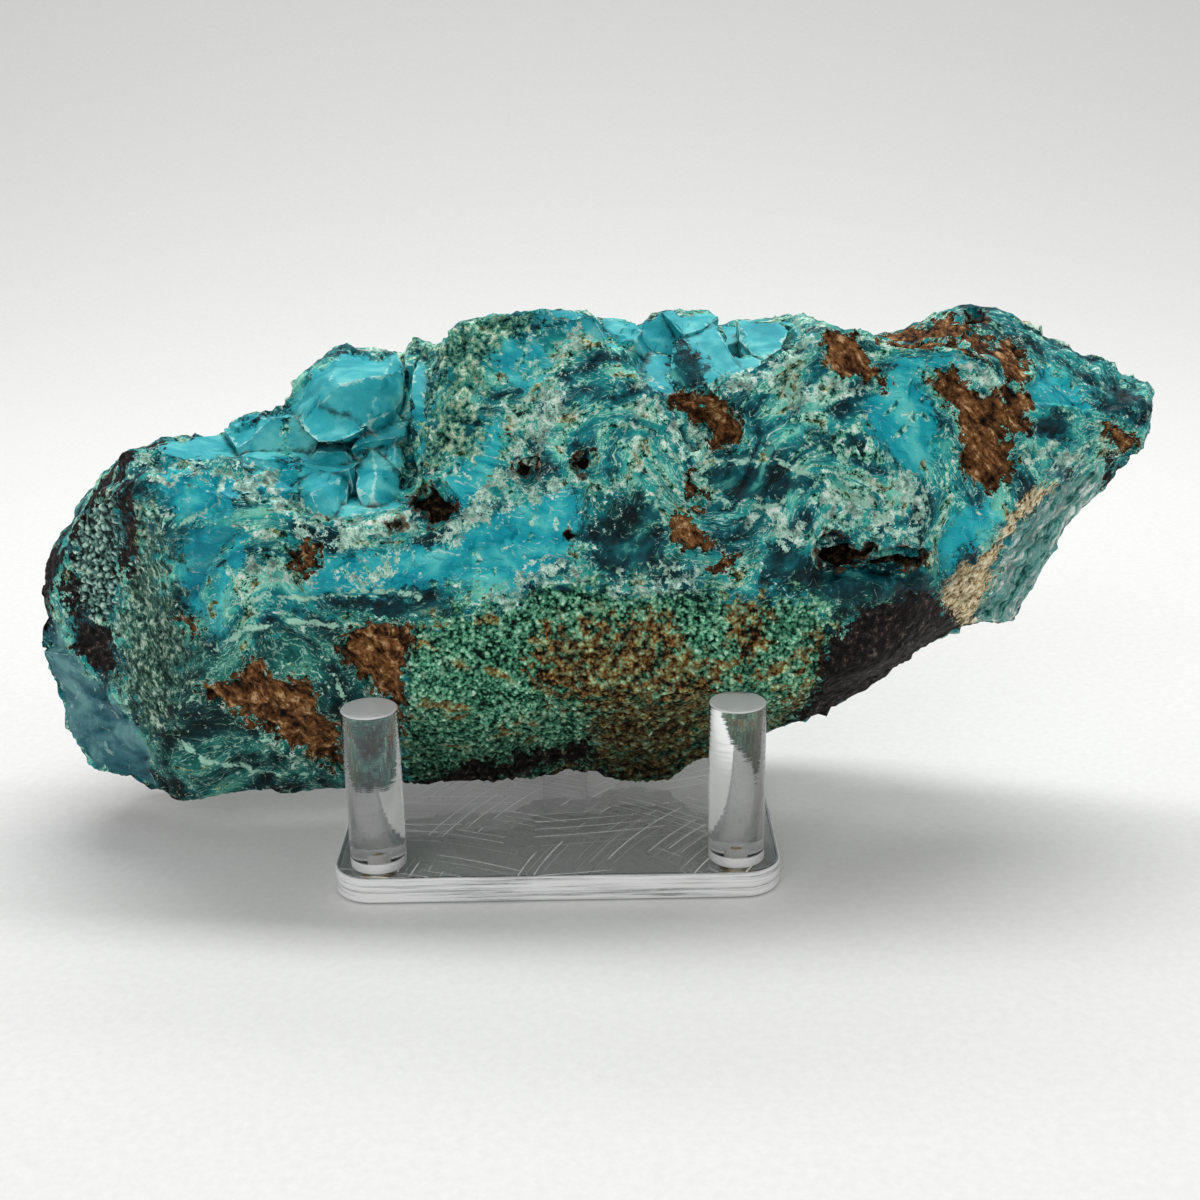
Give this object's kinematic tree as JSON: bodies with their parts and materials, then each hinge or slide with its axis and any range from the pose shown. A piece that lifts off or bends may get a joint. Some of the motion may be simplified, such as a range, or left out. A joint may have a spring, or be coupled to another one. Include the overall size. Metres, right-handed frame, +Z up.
{
  "type": "raw chrysocolla on a display stand",
  "caption": "Rough lump of blue-green chrysocolla with brown and black matrix, lying in a low clear acrylic peg stand for display.",
  "frame": {"origin": "centre of the stand plate's underside", "axes": "+X along the stone's length to the viewer's right, +Y away from the viewer towards the back peg, +Z up"},
  "size_m": [0.2708, 0.1016, 0.1293],
  "materials": {
    "stone": "broken natural surface, waxy where clean and dull where crusted",
    "acrylic": "clear and polished, lightly scratched",
    "brass": "bright"
  },
  "bodies": {
    "root": {"chrysocolla": "stone", "stand_plate": "acrylic", "front_left_peg": "acrylic", "front_right_peg": "acrylic", "back_peg": "acrylic", "front_left_screw": "brass", "front_right_screw": "brass", "back_screw": "brass"}
  },
  "joints": []
}
